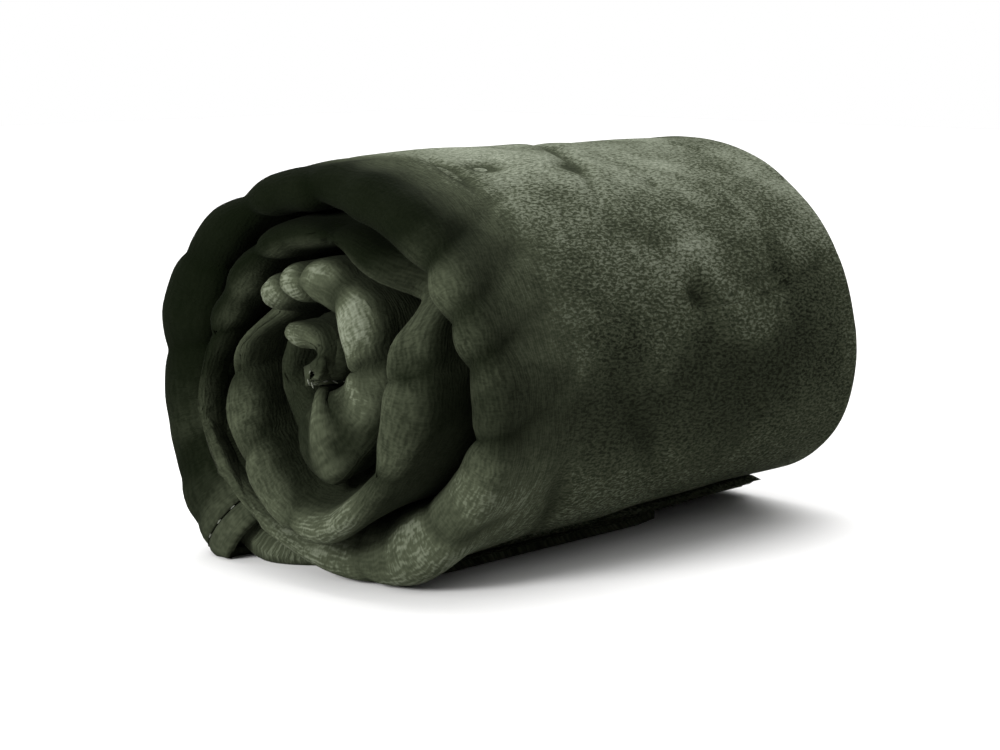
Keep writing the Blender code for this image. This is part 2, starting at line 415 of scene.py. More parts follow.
# %% [markdown]
# ## Creases, pleats and soft waves
#
# Plush cloth has no sharp wrinkles, because its pile fills them. What shows is three scales of
# relief: long soft waves over the body, pleats that cross the fold edges and fade along the
# body, and a few deep creases and dimples where the cloth was pinched.

# %% Pleats across the fold edges: turn number, spread in turns, depth, reach along the roll
PLEATS = [
    (-0.030, 0.008, 2.5 * MM, 30 * MM),
    (-0.062, 0.010, 3.5 * MM, 34 * MM),
    (-0.150, 0.008, 3.0 * MM, 50 * MM),
    (-0.225, 0.009, 4.0 * MM, 40 * MM),
    (-0.300, 0.010, 4.0 * MM, 44 * MM),
    (-0.385, 0.009, 3.5 * MM, 40 * MM),
    (-0.545, 0.009, 3.5 * MM, 60 * MM),
    (-0.590, 0.008, 4.0 * MM, 36 * MM),
    (-0.628, 0.008, 4.0 * MM, 44 * MM),
    (-0.690, 0.007, 3.5 * MM, 40 * MM),
    (-0.775, 0.008, 2.5 * MM, 40 * MM),
    (-0.860, 0.006, 2.0 * MM, 36 * MM),
    (-1.180, 0.010, 3.5 * MM, 30 * MM),
    (-1.300, 0.010, 3.5 * MM, 30 * MM),
    (-1.420, 0.012, 4.0 * MM, 30 * MM),
    (-1.640, 0.010, 3.5 * MM, 30 * MM),
    (-1.760, 0.010, 3.5 * MM, 30 * MM),
    (-1.905, 0.012, 3.0 * MM, 30 * MM),
    (-2.010, 0.012, 3.0 * MM, 26 * MM),
    (-2.135, 0.012, 4.5 * MM, 30 * MM),
    (-2.335, 0.009, 5.0 * MM, 30 * MM),
    (-2.390, 0.008, 5.5 * MM, 34 * MM),
    (-2.475, 0.010, 4.5 * MM, 28 * MM),
    (-2.630, 0.012, 4.5 * MM, 26 * MM),
    (-2.790, 0.016, 4.5 * MM, 24 * MM),
    (-2.990, 0.022, 6.0 * MM, 24 * MM),
    (-3.230, 0.030, 6.0 * MM, 24 * MM),
]

# %% Dimples and creases of the body: across and along the sheet, half sizes, turn, depth
DENTS = [
    (0.404, 1.183, 13 * MM, 7 * MM, 0, 5.4 * MM),
    (0.462, 1.175, 12 * MM, 6 * MM, 0, 3.8 * MM),
    (0.510, 1.155, 5 * MM, 3 * MM, 0, 3.0 * MM),
    (0.490, 1.088, 7 * MM, 5 * MM, -30, 7.5 * MM),
    (0.515, 1.083, 17 * MM, 1.9 * MM, 0, 2.4 * MM),
    (0.557, 1.086, 20 * MM, 1.9 * MM, 6, 2.7 * MM),
    (0.600, 1.094, 22 * MM, 1.9 * MM, 12, 2.4 * MM),
    (0.560, 1.094, 34 * MM, 1.9 * MM, 8, 2.0 * MM),
    (0.505, 1.070, 3 * MM, 9 * MM, -12, -2.4 * MM),
    (0.523, 1.050, 9 * MM, 3 * MM, 10, -2.2 * MM),
    (0.541, 1.028, 3 * MM, 13 * MM, -6, -2.4 * MM),
    (0.384, 0.994, 28 * MM, 7 * MM, -57, 4.2 * MM),
    (0.376, 1.180, 22 * MM, 5 * MM, 80, 3.8 * MM),
    (0.474, 1.190, 50 * MM, 6 * MM, 65, 3.0 * MM),
    (0.360, 1.120, 26 * MM, 6 * MM, 15, 2.0 * MM),
    (0.352, 1.225, 22 * MM, 8 * MM, 20, 3.0 * MM),
    (0.430, 1.030, 40 * MM, 9 * MM, -40, 2.7 * MM),
]

# %% Relief of the cloth, as a height on its right side
FOLD_LINE = (NEAR_FOLD[0] + NEAR_FOLD[1]) / 2
FOLD_FADE = 32 * MM
CRUSHED = 2.2 * MM
CRUSHED_CORE = 2.8 * MM
PLEAT_SLANT = 0.02 / (30 * MM)
ROUNDED = 0.1
CORE_FOLDS = 4.5 * MM
BODY_ROOM = 3.3 * MM
FOLD_ROOM = 4.2 * MM


def turn_number(u, v):
    return np.interp(run_on(u, v), DISTANCE[:SAMPLES], TURNS)


def pleated(u, w):
    """The pleats: each is a line across the fold, sharp in the middle and fading on both sides."""
    depth = 0.0
    for turn, spread, deep, reach in PLEATS:
        slant = turn + PLEAT_SLANT * (u - FOLD_LINE)
        across = np.sqrt(((w - slant) / spread) ** 2 + ROUNDED) - math.sqrt(ROUNDED)
        depth = depth + deep * np.exp(-across) * bump(u, FOLD_LINE, reach)
    return depth


def dented(u, v):
    """The dimples and creases: each is a turned oval."""
    depth = 0.0
    for at_u, at_v, half_u, half_v, turned, deep in DENTS:
        angle = math.radians(turned)
        du, dv = u - at_u, v - at_v
        p = (du * math.cos(angle) + dv * math.sin(angle)) / half_u
        q = (dv * math.cos(angle) - du * math.sin(angle)) / half_v
        depth = depth + deep * np.exp(-p * p - q * q)
    return depth


def pinched(u, v):
    """How deep the cloth is pressed in, never more than it has room for."""
    w = turn_number(u, v)
    near = np.exp(-np.abs(u - FOLD_LINE) / FOLD_FADE)
    crushed = CRUSHED + CRUSHED_CORE * smoothstep((-2.4 - w) / 0.5)
    depth = crushed * (0.4 - CRUMPLES(v / (15 * MM), u / (26 * MM))) * near
    depth = depth + pleated(u, w) + dented(u, v)
    core = smoothstep((-2.5 - w) / 0.2)
    depth = depth + CORE_FOLDS * np.abs(CRUMPLES(u / (8 * MM), v / (22 * MM))) * near * core
    room = BODY_ROOM + FOLD_ROOM * near
    return room * np.tanh(depth / room)


# %% Waves and ripples, and the shade in the creases
WAVE_HEIGHT = 1.8 * MM
RIPPLE_HEIGHT = 0.7 * MM
PRESSED_IN = 1.0 * MM
SHADE_STARTS = 0.8 * MM
SHADE_DEPTH = 2.8 * MM


def relief(u, v):
    """How far the cloth stands out from the even roll."""
    waves = WAVE_HEIGHT * WAVES(v / (85 * MM), u / (110 * MM))
    ripples = RIPPLE_HEIGHT * RIPPLES(v / (26 * MM) + u / (80 * MM), u / (45 * MM))
    return waves + ripples - PRESSED_IN - pinched(u, v)


def crease_shade(u, v):
    """1 where shade is painted into a pleat or a dent, or between two turns, and 0 where the cloth
    is open.
    """
    near = book_fold(u)[2]
    covered = np.where(u > FOLD_LINE, smoothstep((-0.92 - turn_number(u, v)) / 0.08), 1.0)
    between = smoothstep((0.80 - near) / 0.65) * covered
    pressed = np.clip((pinched(u, v) - SHADE_STARTS) / SHADE_DEPTH, 0.0, 1.0)
    return np.clip(between + pressed, 0.0, 1.0)


# %% The cloth's middle, with its relief
FLOOR_SOFTNESS = 1.0 * MM


def cloth(u, v):
    """The place of the sheet's middle, with its relief, resting on the floor where it gets there."""
    place = rolled(u, v) + facing(rolled, u, v) * relief(u, v)[..., None]
    above = (place[..., 2] - FLEECE / 2) / FLOOR_SOFTNESS
    place[..., 2] = FLEECE / 2 + FLOOR_SOFTNESS * np.logaddexp(above, 0.0)
    return place


# %% [markdown]
# ## Cloth with a thickness
#
# `fabric` turns a rectangle of the flat sheet into one closed body. The rows are close together
# in the last turn, which shows, and further apart inside the roll. The same goes for the
# columns: the full list is used where the outer ply shows, and a short list elsewhere. Where a
# long row meets a short one, the faces in between simply have more corners.

# %% The places of rows and columns, and the faces between them
def sheet_rows(bands):
    """Rows as (v, columns). The row that two bands share has the columns of both."""
    rows = []
    for index, (vs, us) in enumerate(bands):
        if index:
            rows[-1][1].update(us)
        for v in vs[1:] if index else vs:
            rows.append((v, set(us)))
    return [(v, sorted(us)) for v, us in rows]


def closed_faces(bands, rows):
    """Faces of both sides and of the edge all round; the wrong side's corners come second."""
    places = {}
    for number, (v, us) in enumerate(rows):
        for u in us:
            places[number, u] = len(places)
    count = len(places)
    faces = []
    spans = [sorted(us) for vs, us in bands for v in vs[1:]]
    for number, us in enumerate(spans):
        for u0, u1 in zip(us, us[1:]):
            lower = [places[number, u] for u in rows[number][1] if u0 <= u <= u1]
            upper = [places[number + 1, u] for u in rows[number + 1][1] if u0 <= u <= u1]
            ring = lower + upper[::-1]
            faces.append(ring)
            faces.append([corner + count for corner in ring[::-1]])
    last = len(rows) - 1
    edge = [places[0, u] for u in rows[0][1]]
    edge += [places[number, rows[number][1][-1]] for number in range(1, last)]
    edge += [places[last, u] for u in rows[last][1][::-1]]
    edge += [places[number, rows[number][1][0]] for number in range(last - 1, 0, -1)]
    for a, b in zip(edge, edge[1:] + edge[:1]):
        faces.append([b, a, a + count, b + count])
    return faces


# %% A closed body between the right side and the wrong side
def closed_sheet(name, bands, sides):
    """bands are (rows of v, columns of u), and sides gives both surfaces at any place."""
    rows = sheet_rows(bands)
    flat_u = np.array([u for v, us in rows for u in us])
    flat_v = np.array([v for v, us in rows for u in us])
    points = np.vstack(sides(flat_u, flat_v))
    points[:, 2] = np.maximum(points[:, 2], 0.0)
    faces = closed_faces(bands, rows)
    mesh = bpy.data.meshes.new(name)
    mesh.from_pydata(points.tolist(), [], faces)
    flat = mesh.uv_layers.new(name="flat_sheet")
    uv = np.tile(np.column_stack((flat_u, flat_v)), (2, 1))
    corners = np.zeros(len(mesh.loops), dtype=np.int32)
    mesh.loops.foreach_get("vertex_index", corners)
    flat.data.foreach_set("uv", uv[corners].astype(np.float32).ravel())
    # The crease shade is painted shade: the material darkens the pile's colour with it.
    shade = np.tile(crease_shade(flat_u, flat_v), 2)
    layer = mesh.attributes.new("crease_shade", "FLOAT", "POINT")
    layer.data.foreach_set("value", shade.astype(np.float32))
    mesh.shade_smooth()
    mesh.validate()
    piece = bpy.data.objects.new(name, mesh)
    bpy.context.scene.collection.objects.link(piece)
    print(name, "has", sum(len(face) - 2 for face in faces), "triangles")
    return piece


def fabric(name, bands, thickness):
    """A body of cloth, as thick as thickness says at each place of the sheet."""
    def sides(u, v):
        middle = cloth(u, v)
        half = facing(cloth, u, v) * (thickness(u, v) / 2)[:, None]
        return middle + half, middle - half
    return closed_sheet(name, bands, sides)


# %% [markdown]
# ## Rows and columns of the sheet
#
# Faces are small where the cloth turns or shows, which is at the fold edges, at the far fold and
# on the outer ply, and long where plies hide each other. That keeps the sheet under 200,000
# triangles and leaves most of them to what is seen.

# %% Columns and rows
def steps(start, end, size):
    """Evenly spaced values from start to end, about size apart."""
    count = max(1, round(abs(end - start) / size))
    return [float(value) for value in np.linspace(start, end, count + 1)]


SEAM = HEM_WIDTH + 1.4 * MM
LAST_TURN = 0.84
PANEL_U = (SEAM, SHEET_WIDTH - SEAM)
PANEL_V = (SEAM, SHEET_LENGTH - SEAM)
FINE = 2.2 * MM
SEEN = 5.0 * MM
HIDDEN = 30 * MM
AT_SEAM = 10 * MM
NEAR_PART = (NEAR_FOLD[0] - 24 * MM, NEAR_FOLD[1] + 26 * MM)
FAR_PART = (FAR_FOLD[0] - 6 * MM, FAR_FOLD[1] + 6 * MM)
near_part = steps(*NEAR_PART, FINE)
seen_part = steps(NEAR_PART[1], FAR_PART[0], SEEN)
hidden_part = steps(NEAR_PART[1], FAR_PART[0], HIDDEN)
far_part = steps(*FAR_PART, 2.0 * MM)
inner_part = steps(FAR_PART[1], NESTED_FOLD[0], 24 * MM)
inner_part += steps(*NESTED_FOLD, 2.4 * MM)
inner_part += steps(NESTED_FOLD[1], PANEL_U[1] - AT_SEAM, HIDDEN)
inner_part += steps(PANEL_U[1] - AT_SEAM, PANEL_U[1], 3 * MM)
edge_part = steps(PANEL_U[0], PANEL_U[0] + AT_SEAM, 3 * MM)
edge_part += steps(PANEL_U[0] + AT_SEAM, NEAR_PART[0], HIDDEN)
FULL = sorted(set(edge_part + near_part + seen_part + far_part + inner_part))
SHORT = sorted(set(edge_part + near_part + hidden_part + far_part + inner_part))
BANDS = [
    (steps(PANEL_V[0], LAST_TURN, 4.6 * MM), SHORT),
    (steps(LAST_TURN, PANEL_V[1], 3.6 * MM), FULL),
]
print("the outer ply has", len(FULL), "columns, and the plies inside have", len(SHORT))

# %% [markdown]
# ## The panel and its hems
#
# The panel thins towards its seams, where the stitching pulls the pile down. Each hem is the
# sheet turned up on itself: thick and round at its outer edge, and pinched at the seam.

# %% Thickness of panel and hems
SEAM_FADE = 6 * MM


def edge_distance(u, v):
    """How far a place of the sheet is from its nearest edge."""
    across = np.minimum(u, SHEET_WIDTH - u)
    along = np.minimum(v, SHEET_LENGTH - v)
    return np.minimum(across, along)


def panel_thickness(u, v):
    into = (edge_distance(u, v) - SEAM) / SEAM_FADE
    return SEAM_THICKNESS + (FLEECE - SEAM_THICKNESS) * smoothstep(into)


def hem_thickness(u, v):
    inside = np.clip(edge_distance(u, v) / HEM_WIDTH, 0.0, 1.0)
    plump = np.sqrt(np.clip(1 - (2 * inside - 0.9) ** 2, 0.0, 1.0))
    return SEAM_THICKNESS + (HEM_THICKNESS - SEAM_THICKNESS) * plump


panel = fabric("fleece_sheet", BANDS, panel_thickness)

# %% The four hems
HEM_STEP = 2.1 * MM
across = steps(0.0, HEM_WIDTH, HEM_STEP)
other_side = [SHEET_WIDTH - u for u in across[::-1]]
whole_length = steps(0.0, SHEET_LENGTH, 4.5 * MM)
between = [HEM_WIDTH, *FULL, SHEET_WIDTH - HEM_WIDTH]
far_rows = steps(SHEET_LENGTH - HEM_WIDTH, SHEET_LENGTH, HEM_STEP)
hems = {
    "hem_side_outer": fabric("side_hem_outer", [(whole_length, across)], hem_thickness),
    "hem_side_nested": fabric("side_hem_nested", [(whole_length, other_side)], hem_thickness),
    "hem_core_end": fabric("core_end_hem", [(across, between)], hem_thickness),
    "hem_free_end": fabric("free_end_hem", [(far_rows, between)], hem_thickness),
}

# %% [markdown]
# ## Plush
#
# Plush looks soft for three reasons. Its pile swallows light, so it has almost no gloss and only
# a trace of sheen. The pile lies in patches, some brushed with the light and some against it,
# which gives broad lighter and darker clouds. And single tufts and ribs show close up. Patches,
# tufts and ribs are noise on the flat sheet's own coordinates, so they follow the cloth around
# every fold. Broad clouds are noise in space, because the whole roll is stroked at once.
#
# Shader nodes are wired by writing sums: a small class wraps a socket and adds the Math nodes.

# %% Shader maths, written as Python expressions
class Graph:
    """Adds nodes to one node tree. A socket's value is given by its name, or as i and its number."""

    def __init__(self, tree):
        self.tree = tree

    def add(self, kind, settings=(), output=0, **values):
        node = self.tree.nodes.new(kind)
        for name, value in dict(settings).items():
            setattr(node, name, value)
        for name, value in values.items():
            key = int(name[1:]) if name[0] == "i" and name[1:].isdigit() else name.replace("_", " ")
            socket = node.inputs[key]
            if isinstance(value, Value):
                self.tree.links.new(value.socket, socket)
            elif isinstance(value, bpy.types.NodeSocket):
                self.tree.links.new(value, socket)
            else:
                socket.default_value = value
        return Value(self, node.outputs[output])


class Value:
    """A number in a shader, with the usual operators."""

    def __init__(self, graph, socket):
        self.graph = graph
        self.socket = socket

    def math(self, operation, a, b=0.0):
        return self.graph.add("ShaderNodeMath", {"operation": operation}, i0=a, i1=b)

    def __add__(self, other):
        return self.math("ADD", self, other)

    def __radd__(self, other):
        return self.math("ADD", other, self)

    def __sub__(self, other):
        return self.math("SUBTRACT", self, other)

    def __rsub__(self, other):
        return self.math("SUBTRACT", other, self)

    def __mul__(self, other):
        return self.math("MULTIPLY", self, other)

    def __rmul__(self, other):
        return self.math("MULTIPLY", other, self)

    def __pow__(self, other):
        return self.math("POWER", self, other)

    def __abs__(self):
        return self.math("ABSOLUTE", self)

    def clamp(self):
        return self.graph.add("ShaderNodeClamp", {}, Value=self)

    def step(self, start, end):
        """0 below start, 1 above end, and smooth in between."""
        settings = {"interpolation_type": "SMOOTHSTEP"}
        return self.graph.add("ShaderNodeMapRange", settings, i0=self, i1=start, i2=end)


def mix_colour(graph, factor, first, second):
    settings = {"data_type": "RGBA", "clamp_factor": True}
    return graph.add("ShaderNodeMix", settings, output=2, i0=factor, i6=first, i7=second)


# %% [markdown]
# ## The pile, its nap, and painted light and shade
#
# The pile's colour is one level that runs from shaded, through plain, to brushed and lit. Tufts
# and ribs move it a little at every point, and patches of nap move it at random. Painted light
# and shade move it a lot, over broad places. The crown is painted lighter, as a highlight where
# the light rakes over the top. The upper left of the fold end is painted dark, as shade, and so
# is a belt along the front. The folds in the upper core, and those at the foot of the fold end,
# are painted a little lighter, as light. Each such place is a mask from 0 to 1 over a range in
# metres, with clouds of noise in it so that it has no straight edge. The crease shade paints shade
# into pleats, dents and the gaps between turns. The masks are fixed to the cloth, and show the
# same from every side.

# %% Colours of the pile, and its noise
def rgba(red, green, blue):
    return (red, green, blue, 1.0)


# The first colour is for painted shade and the darkest random pile. The third is for painted
# highlights and light, and the lightest random tufts.
SHADED_PILE = rgba(0.0016, 0.0026, 0.0009)
PLAIN_PILE = rgba(0.0455, 0.0525, 0.0325)
BRUSHED_AND_LIT_PILE = rgba(0.2150, 0.2350, 0.1820)
SHEEN_TINT = rgba(0.85, 0.94, 0.74)


def noise(graph, vector, scale, detail, roughness, stretch=(1, 1, 1), turned=0.0, swirl=0.0):
    placed = graph.add("ShaderNodeMapping", i0=vector, Rotation=(0, 0, turned), Scale=stretch)
    return graph.add("ShaderNodeTexNoise", {"noise_dimensions": "3D"}, Vector=placed,
                     Scale=scale, Detail=detail, Roughness=roughness, Distortion=swirl)


def tufts_and_ribs(graph, sheet):
    """The pile close up: tufts on the body, and more of ribs near the fold edges."""
    tufts = noise(graph, sheet, 820.0, 2.0, 0.6, (0.40, 1.0, 1.0), turned=0.35, swirl=0.5)
    rows = graph.add("ShaderNodeTexWave", {"bands_direction": "X"}, output=1, Vector=sheet,
                     Scale=175.0, Distortion=9.0, Detail=2.0, Detail_Scale=0.8)
    strands = noise(graph, sheet, 520.0, 2.0, 0.55, (1.0, 0.24, 1.0), turned=-0.12, swirl=0.5)
    ribs = rows * 0.14 + strands * 0.86
    across = graph.add("ShaderNodeSeparateXYZ", i0=sheet)
    at_fold = (1.0 - abs(across - FOLD_LINE).step(0.03, 0.09)) * 0.6
    return tufts * (1.0 - at_fold) + ribs * at_fold


# %% How light the pile is at each place: its nap, and painted light and shade
# Each pair is where a mask starts and where it is whole, in metres, or squared for the radius.
FOLD_END = (0.095, 0.150)
# Where shade is painted at the upper left of the fold end: its reach along the roll, its turns and
# its sides.
PAINTED_SHADE_END = (0.128, 0.172)
OUTER_TURNS = (0.048**2, 0.064**2)
LEFT = (0.03, 0.10)
UPPER = (0.015, 0.060)
# Where light is painted on the folds at the foot of the fold end.
PAINTED_LIGHT_FOOT = (0.03, 0.12)
# Where light is painted on the folds in the upper core.
PAINTED_LIGHT_UPPER_CORE = (-0.02, 0.05)
# Where the top of the roll is painted lighter, as a highlight where the light rakes over it.
PAINTED_CROWN_LIGHT = (0.15, 0.235)
# Height and width of the belt of painted shade along the front.
PAINTED_SHADE_BELT_HEIGHT = 0.132
PAINTED_SHADE_BELT_WIDTH = 1 / 33


def nap_and_painted_light_level(graph, place, clouds, nap, tips):
    """0 for painted shade, about 0.5 for plain pile, and more for brushed pile and painted light."""
    x, y, z = [graph.add("ShaderNodeSeparateXYZ", output=axis, i0=place) for axis in range(3)]
    right = x - AXIS_X
    up = z - AXIS_Z
    fold_end = (clouds * 0.06 - y).step(*FOLD_END)
    outer = (right * right + up * up).step(*OUTER_TURNS)
    left_side = (0.0 - right).step(*LEFT) * 0.75
    upper_side = (up - right * 0.5 + clouds * 0.04).step(*UPPER)
    left_or_upper = left_side + upper_side - left_side * upper_side
    # Painted shade: the upper left of the outer turns at the fold end is made dark.
    painted_shade_upper_left = (clouds * 0.06 - y).step(*PAINTED_SHADE_END) * outer * left_or_upper
    # Painted light on the folds in the upper core.
    painted_light_upper_core = fold_end * (1.0 - outer) * (up + clouds * 0.03).step(*PAINTED_LIGHT_UPPER_CORE)
    # Painted light on the folds at the foot of the fold end.
    painted_light_foot = fold_end * (clouds * 0.05 - up + right * 0.4).step(*PAINTED_LIGHT_FOOT)
    # Painted highlight: the top of the roll is made lighter.
    painted_crown_light = (z + clouds * 0.08).step(*PAINTED_CROWN_LIGHT) * (1.0 - fold_end * 0.6)
    # Painted shade: a belt along the front is made darker.
    painted_shade_belt = 1.0 - ((z + clouds * 0.10 - PAINTED_SHADE_BELT_HEIGHT) * (1 / PAINTED_SHADE_BELT_WIDTH)) ** 2.0
    painted_shade_belt = painted_shade_belt.clamp() * x.step(0.04, 0.09) * (0.0 - y).step(-0.16, 0.10).step(0.0, 0.3)
    # Painted shade: pleats, dents and the gaps between turns are made darker.
    painted_crease_shade = graph.add("ShaderNodeAttribute", {"attribute_name": "crease_shade"}, output=2)
    level = nap * (0.20 + painted_crown_light * 0.32) + tips * (0.42 - fold_end * 0.14) + painted_crown_light * 0.22
    level = level + painted_light_foot * 0.16 + painted_light_upper_core * 0.30 + fold_end * 0.05 + 0.04
    return level * (1.0 - painted_shade_upper_left * 0.96) * (1.0 - painted_shade_belt * 0.50) * (1.0 - painted_crease_shade * 0.76)


# %% The plush material
def plush(name, tuft_height):
    material = bpy.data.materials.new(name)
    material.use_nodes = True
    graph = Graph(material.node_tree)
    shader = material.node_tree.nodes["Principled BSDF"]
    sheet = graph.add("ShaderNodeUVMap", {"uv_map": "flat_sheet"})
    place = graph.add("ShaderNodeTexCoord", output=3)
    clouds = noise(graph, place, 18.0, 4.0, 0.6, swirl=0.6)
    patches = noise(graph, sheet, 20.0, 3.0, 0.55, (1.0, 1.5, 1.0), turned=0.6, swirl=0.8)
    pile = tufts_and_ribs(graph, sheet)
    nap = (clouds * 0.6 + patches * 0.4).step(0.30, 0.70)
    level = nap_and_painted_light_level(graph, place, clouds, nap, tips=pile.step(0.34, 0.66))
    colour = mix_colour(graph, level * 1.7, SHADED_PILE, PLAIN_PILE)
    colour = mix_colour(graph, (level - 0.50) * 1.4, colour, BRUSHED_AND_LIT_PILE)
    tufted = graph.add("ShaderNodeBump", Strength=0.9, Distance=tuft_height,
                       Height=pile + patches * 0.2)
    material.node_tree.links.new(colour.socket, shader.inputs["Base Color"])
    material.node_tree.links.new(tufted.socket, shader.inputs["Normal"])
    shader.inputs["Roughness"].default_value = 0.95
    shader.inputs["Specular IOR Level"].default_value = 0.01
    shader.inputs["Sheen Weight"].default_value = 0.005
    shader.inputs["Sheen Roughness"].default_value = 0.5
    shader.inputs["Sheen Tint"].default_value = SHEEN_TINT
    print(name, "has", len(material.node_tree.nodes), "nodes")
    return material


PLUSH = plush("plush_pile", tuft_height=1.0 * MM)
HEM_PLUSH = plush("pressed_hem_pile", tuft_height=0.6 * MM)
panel.data.materials.append(PLUSH)
for hem in hems.values():
    hem.data.materials.append(HEM_PLUSH)

# %% [markdown]
# ## Stitches
#
# A row of lockstitches holds each hem, and shows on both sides of the cloth. There are well over
# a thousand, all alike, so Geometry Nodes place them: the script computes where each stitch
# lies and how it is turned, and the tree puts one small rounded stitch on every point.

# %% A tree that puts a stitch on every point
STITCH_PITCH = 4.0 * MM


def stitch_tree():
    tree = bpy.data.node_groups.new("lockstitches", "GeometryNodeTree")
    face = tree.interface
    face.new_socket("Geometry", in_out="INPUT", socket_type="NodeSocketGeometry")
    length = face.new_socket("Stitch length", in_out="INPUT", socket_type="NodeSocketFloat")
    width = face.new_socket("Thread width", in_out="INPUT", socket_type="NodeSocketFloat")
    finish = face.new_socket("Finish", in_out="INPUT", socket_type="NodeSocketMaterial")
    face.new_socket("Geometry", in_out="OUTPUT", socket_type="NodeSocketGeometry")
    graph = Graph(tree)
    given = tree.nodes.new("NodeGroupInput").outputs
    result = tree.nodes.new("NodeGroupOutput")
    bead = graph.add("GeometryNodeMeshUVSphere", Segments=6, Rings=4, Radius=0.5)
    size = graph.add("ShaderNodeCombineXYZ", i0=given["Stitch length"],
                     i1=given["Thread width"], i2=given["Thread width"])
    stitch = graph.add("GeometryNodeTransform", Geometry=bead, Scale=size)
    vector = {"data_type": "FLOAT_VECTOR"}
    along = graph.add("GeometryNodeInputNamedAttribute", vector, Name="along")
    outwards = graph.add("GeometryNodeInputNamedAttribute", vector, Name="outwards")
    turned = graph.add("FunctionNodeAlignRotationToVector", {"axis": "X"}, Vector=along)
    turned = graph.add("FunctionNodeAlignRotationToVector", {"axis": "Z", "pivot_axis": "X"},
                       Rotation=turned, Vector=outwards)
    sewn = graph.add("GeometryNodeInstanceOnPoints", Points=given["Geometry"], Instance=stitch,
                     Rotation=turned)
    real = graph.add("GeometryNodeRealizeInstances", Geometry=sewn)
    coloured = graph.add("GeometryNodeSetMaterial", Geometry=real, Material=given["Finish"])
    tree.links.new(coloured.socket, result.inputs["Geometry"])
    print("the stitch tree has", len(tree.nodes), "nodes")
    return tree, length.identifier, width.identifier, finish.identifier


# %% [markdown]
# ## Thread, and where the stitches lie
#
# The thread is a matt polyester a shade lighter than the pile, with a fine twist in its colour
# and its bump. A row follows its line on the flat sheet through the same rule as the cloth, just
# above the seam on each side.

# %% The thread's finish
def thread_finish():
    material = bpy.data.materials.new("sewing_thread")
    material.use_nodes = True
    graph = Graph(material.node_tree)
    shader = material.node_tree.nodes["Principled BSDF"]
    place = graph.add("ShaderNodeTexCoord", output=3)
    twist = graph.add("ShaderNodeTexNoise", {}, Vector=place, Scale=900.0, Detail=2.0)
    colour = mix_colour(graph, twist.step(0.3, 0.7), rgba(0.030, 0.034, 0.022),
                        rgba(0.075, 0.084, 0.058))
    bump_node = graph.add("ShaderNodeBump", Strength=0.5, Distance=0.2 * MM, Height=twist)
    material.node_tree.links.new(colour.socket, shader.inputs["Base Color"])
    material.node_tree.links.new(bump_node.socket, shader.inputs["Normal"])
    shader.inputs["Roughness"].default_value = 0.6
    shader.inputs["Sheen Weight"].default_value = 0.2
    return material


THREAD = thread_finish()
TREE, LENGTH_INPUT, WIDTH_INPUT, FINISH_INPUT = stitch_tree()

# %% Four rows of stitches
SEAM_MIDDLE = HEM_WIDTH + 0.4 * MM
STITCH_SHARE = 0.84
THREAD_WIDTH = 0.8 * MM
THREAD_LIFT = 0.1 * MM


def stitch_row(name, us, vs):
    """Stitches along a line on the sheet, on both of its sides."""
    middle = cloth(us, vs)
    outwards = facing(cloth, us, vs)
    along = np.gradient(middle, axis=0)
    along /= np.maximum(np.linalg.norm(along, axis=1), 1e-9)[:, None]
    lift = outwards * (SEAM_THICKNESS / 2 + THREAD_LIFT)
    points = np.vstack((middle + lift, middle - lift))
    mesh = bpy.data.meshes.new(name + "_points")
    mesh.from_pydata(points.tolist(), [], [])
    for title, vectors in (("along", np.vstack((along, along))),
                           ("outwards", np.vstack((outwards, -outwards)))):
        layer = mesh.attributes.new(title, "FLOAT_VECTOR", "POINT")
        layer.data.foreach_set("vector", vectors.astype(np.float32).ravel())
    holder = bpy.data.objects.new(name + "_points", mesh)
    bpy.context.scene.collection.objects.link(holder)
    modifier = holder.modifiers.new("stitches", "NODES")
    modifier.node_group = TREE
    modifier[LENGTH_INPUT] = STITCH_PITCH * STITCH_SHARE
    modifier[WIDTH_INPUT] = THREAD_WIDTH
    modifier[FINISH_INPUT] = THREAD
    view = bpy.context.evaluated_depsgraph_get()
    made = bpy.data.meshes.new_from_object(holder.evaluated_get(view))
    bpy.data.objects.remove(holder)
    bpy.data.meshes.remove(mesh)
    made.name = name
    piece = bpy.data.objects.new(name, made)
    bpy.context.scene.collection.objects.link(piece)
    print(name, "has", len(points), "stitches and", len(made.polygons), "faces")
    return piece


def spaced(start, end):
    return np.arange(start, end, STITCH_PITCH)


down = spaced(SEAM_MIDDLE, SHEET_LENGTH - SEAM_MIDDLE)
over = spaced(SEAM_MIDDLE, SHEET_WIDTH - SEAM_MIDDLE)
seams = {
    "stitching_side_outer": stitch_row("side_seam_outer", 0 * down + SEAM_MIDDLE, down),
    "stitching_side_nested": stitch_row("side_seam_nested", 0 * down + SHEET_WIDTH - SEAM_MIDDLE,
                                        down),
    "stitching_core_end": stitch_row("core_end_seam", over, 0 * over + SEAM_MIDDLE),
    "stitching_free_end": stitch_row("free_end_seam", over, 0 * over + SHEET_LENGTH - SEAM_MIDDLE),
}

# %% [markdown]
# ## Care label
#
# A blanket like this carries a small woven label, caught in the hem on the wrong side. It is
# left blank. It is a flat tape, so it goes through the same rule, laid just under the cloth.

# %% The label, laid on the wrong side of the outer hem
LABEL_LENGTH = 32 * MM
LABEL_WIDTH = 24 * MM
LABEL_THICKNESS = 0.5 * MM
LABEL_FROM_EDGE = 9 * MM
LABEL_FROM_END = 210 * MM
LABEL_GAP = 0.15 * MM
LABEL_STEP = 1.0 * MM


def label_sides(u, v):
    """The label's two faces, both on the wrong side of the cloth."""
    outwards = facing(cloth, u, v)
    lie = np.where(u < HEM_WIDTH, hem_thickness(u, v), 0.0)
    lie = np.maximum(lie, panel_thickness(u, v))[:, None] / 2
    top = cloth(u, v) - outwards * (lie + LABEL_GAP)
    return top, top - outwards * LABEL_THICKNESS


